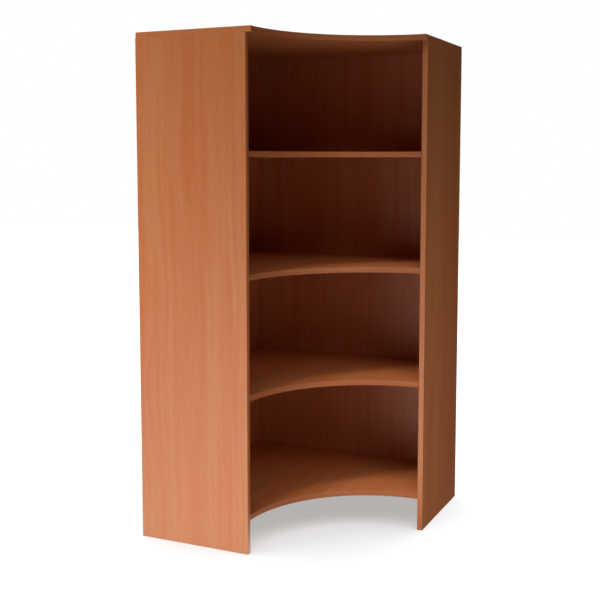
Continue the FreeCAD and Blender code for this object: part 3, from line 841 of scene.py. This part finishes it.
class SHELFUNIT_OT_lay_edgings(Operator):
    """Lays the edge strips, with rounded arrises, on the fronts of the boards and round the top"""

    bl_idname = "shelf_unit.lay_edgings"
    bl_label = "Lay the edge strips"
    bl_options = {"REGISTER", "UNDO"}

    def execute(self, context):
        straight = edging_material("straight_edging", looks().wood.gloss, (1.0, 1.0, 1.0))
        # The curved strips' tint darkens them: painted shade.
        curved = edging_material("curved_edging", looks().edging.gloss, looks().edging.tint)
        low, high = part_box("left_side_front_edging")
        thickness = high[0] - low[0]
        strips = {
            "left_side_front_edging": (RIGHT, -FRONT),
            "right_side_front_edging": (FRONT, RIGHT),
            "top_left_edging": (FRONT, UP),
            "top_right_edging": (RIGHT, UP),
        }
        for node, (outward, across) in strips.items():
            settle(node, straight_strip(node, outward, across), straight)
        for board in ("top_front", *LEVEL_BOARDS[1:]):
            node = f"{board}_edging"
            body = LOOSE_SHELF_BODIES.get(board, CARCASS)
            settle(node, curved_strip(node, thickness), curved, body)
        return {"FINISHED"}


class SHELFUNIT_OT_fit_cam_locks(Operator):
    """Puts in the cast cams, with softened edges"""

    bl_idname = "shelf_unit.fit_cam_locks"
    bl_label = "Fit the cam locks"
    bl_options = {"REGISTER", "UNDO"}

    def execute(self, context):
        fitting = looks().fitting
        finish = {"roughness": 0.45, "grain": 0.5 * MM, "depth": 0.03 * MM}
        material = metal_material("zinc_casting", fitting.zinc, **finish)
        for joint in CAM_JOINTS:
            node = f"{joint}_cam_locks"
            piece = settle(node, softened_copy(node), material)
            bevel = piece.modifiers.new("softened_edges", "BEVEL")
            bevel.width = fitting.edge_break
            bevel.segments = 2
            bevel.limit_method = "ANGLE"
            bevel.angle_limit = SHARP_ANGLE
        return {"FINISHED"}


class SHELFUNIT_OT_fit_cam_bolts(Operator):
    """Puts in the threaded bolts that the cams pull on"""

    bl_idname = "shelf_unit.fit_cam_bolts"
    bl_label = "Fit the cam bolts"
    bl_options = {"REGISTER", "UNDO"}

    def execute(self, context):
        finish = {"roughness": 0.28, "grain": 0.3 * MM, "depth": 0.005 * MM}
        material = metal_material("bolt_steel", looks().fitting.steel, **finish)
        for joint in CAM_JOINTS:
            node = f"{joint}_cam_bolts"
            settle(node, turned_group(node, bolt_form), material)
        return {"FINISHED"}


class SHELFUNIT_OT_fit_dowels(Operator):
    """Puts in the fluted dowels"""

    bl_idname = "shelf_unit.fit_dowels"
    bl_label = "Fit the dowels"
    bl_options = {"REGISTER", "UNDO"}

    def execute(self, context):
        material = beech_material()
        for joint in CAM_JOINTS:
            node = f"{joint}_dowels"
            settle(node, turned_group(node, dowel_form), material)
        return {"FINISHED"}


class SHELFUNIT_OT_fit_screws(Operator):
    """Puts in the connecting screws at the back"""

    bl_idname = "shelf_unit.fit_screws"
    bl_label = "Fit the screws"
    bl_options = {"REGISTER", "UNDO"}

    def execute(self, context):
        finish = {"roughness": 0.3, "grain": 0.3 * MM, "depth": 0.005 * MM}
        material = metal_material("screw_steel", looks().fitting.steel, **finish)
        for node in SCREW_GROUPS:
            settle(node, turned_group(node, screw_form), material)
        return {"FINISHED"}


class SHELFUNIT_OT_fit_supports(Operator):
    """Puts in the moulded supports under the loose shelves"""

    bl_idname = "shelf_unit.fit_supports"
    bl_label = "Fit the shelf supports"
    bl_options = {"REGISTER", "UNDO"}

    def execute(self, context):
        material = plastic_material()
        for node in SUPPORT_GROUPS:
            parts = [part for low, high in solids(node) for part in support_parts(low, high)]
            settle(node, gathered(parts), material)
        return {"FINISHED"}


class SHELFUNIT_OT_set_stage(Operator):
    """Lays the floor and sets up the lamps and the camera"""

    bl_idname = "shelf_unit.set_stage"
    bl_label = "Set the stage"
    bl_options = {"REGISTER", "UNDO"}

    def execute(self, context):
        floor = self.lay_floor(context)
        for name, (side, height, spread, strength) in FAR_LAMPS.items():
            light = bpy.data.lights.new(name, "SUN")
            light.angle = math.radians(spread)
            light.energy = strength * looks().stage.light
            self.hang(context, light, direction(side, height))
        for name, (side, height, power) in BEAMS.items():
            light = bpy.data.lights.new(name, "SPOT")
            light.spot_size = 2 * math.atan(BEAM_RADIUS / BEAM_REACH)
            light.spot_blend = 1.0
            light.shadow_soft_size = BEAM_LAMP_RADIUS
            light.energy = power * looks().stage.light
            away = direction(side, height)
            self.hang_near(context, light, away, BEAM_FOOT + BEAM_REACH * away)
        for name, (side, reach, height, power) in BOX_LAMPS.items():
            light = bpy.data.lights.new(name, "AREA")
            light.size = BOX_LAMP_SIZE
            light.energy = power * looks().stage.light
            away = direction(side, 0)
            self.hang_near(context, light, away, reach * away + Vector((0, 0, height)))
        for lamp in [thing for thing in context.scene.objects if thing.type == "LIGHT"]:
            self.link_light(lamp, floor, lamp.name == "floor_lamp")
        self.back_with_white(context)
        self.aim(context, looks().stage)
        context.scene.view_settings.view_transform = "Standard"
        return {"FINISHED"}

    def lay_floor(self, context):
        """A pale floor. The camera sees it bright, and close to the unit it lights the unit from below."""
        stage = looks().stage
        reach = stage.floor_reach
        mesh = bpy.data.meshes.new("floor")
        corners = [(-reach, -reach), (reach, -reach), (reach, reach), (-reach, reach)]
        mesh.from_pydata([(*corner, -FLOOR_GAP) for corner in corners], [], [(0, 1, 2, 3)])
        material, tree, shader = blank_material("floor")
        ray = add(tree, "LightPath").outputs
        seen, soft, mirrored = (ray[f"Is {kind} Ray"] for kind in ("Camera", "Diffuse", "Glossy"))
        place = add(tree, "TexCoord").outputs["Object"]
        away = add(tree, "VectorMath", {0: place}, operation="LENGTH").outputs["Value"]
        parts = add(tree, "SeparateXYZ", {"Vector": place}).outputs
        forward = math_node(tree, "SUBTRACT", parts["X"], parts["Y"])
        glow = eased(tree, away, *GLOW_AWAY, stage.floor_glow, 0.0)
        fading = eased(tree, away, *SHINE_AWAY, stage.floor_shine, FAR_SHINE * stage.floor_shine)
        ahead = eased(tree, forward, *SHINE_FORWARD, 0.0, fading)
        shine = math_node(tree, "MULTIPLY", ahead, eased(tree, parts["Y"], *SHINE_ALONG_Y, 1.0, 0.0))
        pale = summed(tree, (seen, stage.floor), (soft, stage.floor_return))
        bright = summed(tree, (seen, stage.floor_lift), (soft, glow), (mirrored, shine))
        tree.links.new(pale, shader.inputs["Base Color"])
        tree.links.new(bright, shader.inputs["Emission Strength"])
        shader.inputs["Emission Color"].default_value = (1, 1, 1, 1)
        shader.inputs["Roughness"].default_value = 1.0
        shader.inputs["Specular IOR Level"].default_value = 0.0
        mesh.materials.append(material)
        floor = bpy.data.objects.new("floor", mesh)
        context.scene.collection.objects.link(floor)
        return floor

    def hang(self, context, light, away):
        """A lamp that shines from the given direction."""
        lamp = bpy.data.objects.new(light.name, light)
        lamp.rotation_euler = away.to_track_quat("Z", "Y").to_euler()
        context.scene.collection.objects.link(lamp)
        return lamp

    def hang_near(self, context, light, away, place):
        """A lamp at a place, hidden from the camera and from the boards' gloss."""
        lamp = self.hang(context, light, away)
        lamp.location = place
        lamp.visible_camera = False
        lamp.visible_glossy = False

    def link_light(self, lamp, floor, alone):
        """Lets a lamp light the floor alone, or all but the floor."""
        lit = bpy.data.collections.new(f"lit_by_{lamp.name}")
        lit.objects.link(floor)
        lit.collection_objects[0].light_linking.link_state = "INCLUDE" if alone else "EXCLUDE"
        lamp.light_linking.receiver_collection = lit

    def back_with_white(self, context):
        """A white backdrop that only the camera sees."""
        world = bpy.data.worlds.new("backdrop")
        world.use_nodes = True
        context.scene.world = world
        tree = world.node_tree
        seen = add(tree, "LightPath").outputs["Is Camera Ray"]
        tree.nodes["Background"].inputs["Color"].default_value = (1, 1, 1, 1)
        tree.links.new(seen, tree.nodes["Background"].inputs["Strength"])

    def aim(self, context, stage):
        """Sets up the camera, level but for its tilt, with the picture shifted by its rise."""
        data = bpy.data.cameras.new("camera")
        data.lens = stage.lens
        data.shift_y = stage.rise
        camera = bpy.data.objects.new("camera", data)
        camera.location = stage.camera
        camera.rotation_euler = (math.pi / 2 - stage.tilt, 0, stage.turn)
        context.scene.collection.objects.link(camera)
        context.scene.camera = camera


class SHELFUNIT_PT_sidebar(Panel):
    """Lists the steps of the shelf unit"""

    bl_label = "Shelf unit"
    bl_space_type = "VIEW_3D"
    bl_region_type = "UI"
    bl_category = "Shelf unit"

    def draw(self, context):
        for step in STEPS:
            self.layout.operator(step.bl_idname)


STEPS = (
    SHELFUNIT_OT_face_boards,
    SHELFUNIT_OT_lay_edgings,
    SHELFUNIT_OT_fit_cam_locks,
    SHELFUNIT_OT_fit_cam_bolts,
    SHELFUNIT_OT_fit_dowels,
    SHELFUNIT_OT_fit_screws,
    SHELFUNIT_OT_fit_supports,
    SHELFUNIT_OT_set_stage,
)
CLASSES = (
    WoodLook,
    CoreLook,
    EdgingLook,
    FittingLook,
    StageLook,
    ShelfUnitLooks,
    *STEPS,
    SHELFUNIT_PT_sidebar,
)


def register():
    """Registers the classes and the settings."""
    for each in CLASSES:
        bpy.utils.register_class(each)
    bpy.types.Scene.shelf_unit = PointerProperty(type=ShelfUnitLooks)


def unregister():
    """Takes the settings and the classes away again."""
    del bpy.types.Scene.shelf_unit
    for each in reversed(CLASSES):
        bpy.utils.unregister_class(each)


def main():
    """Runs every step."""
    register()
    bpy.ops.shelf_unit.face_boards()
    bpy.ops.shelf_unit.lay_edgings()
    bpy.ops.shelf_unit.fit_cam_locks()
    bpy.ops.shelf_unit.fit_cam_bolts()
    bpy.ops.shelf_unit.fit_dowels()
    bpy.ops.shelf_unit.fit_screws()
    bpy.ops.shelf_unit.fit_supports()
    bpy.ops.shelf_unit.set_stage()


if __name__ == "__main__":
    main()
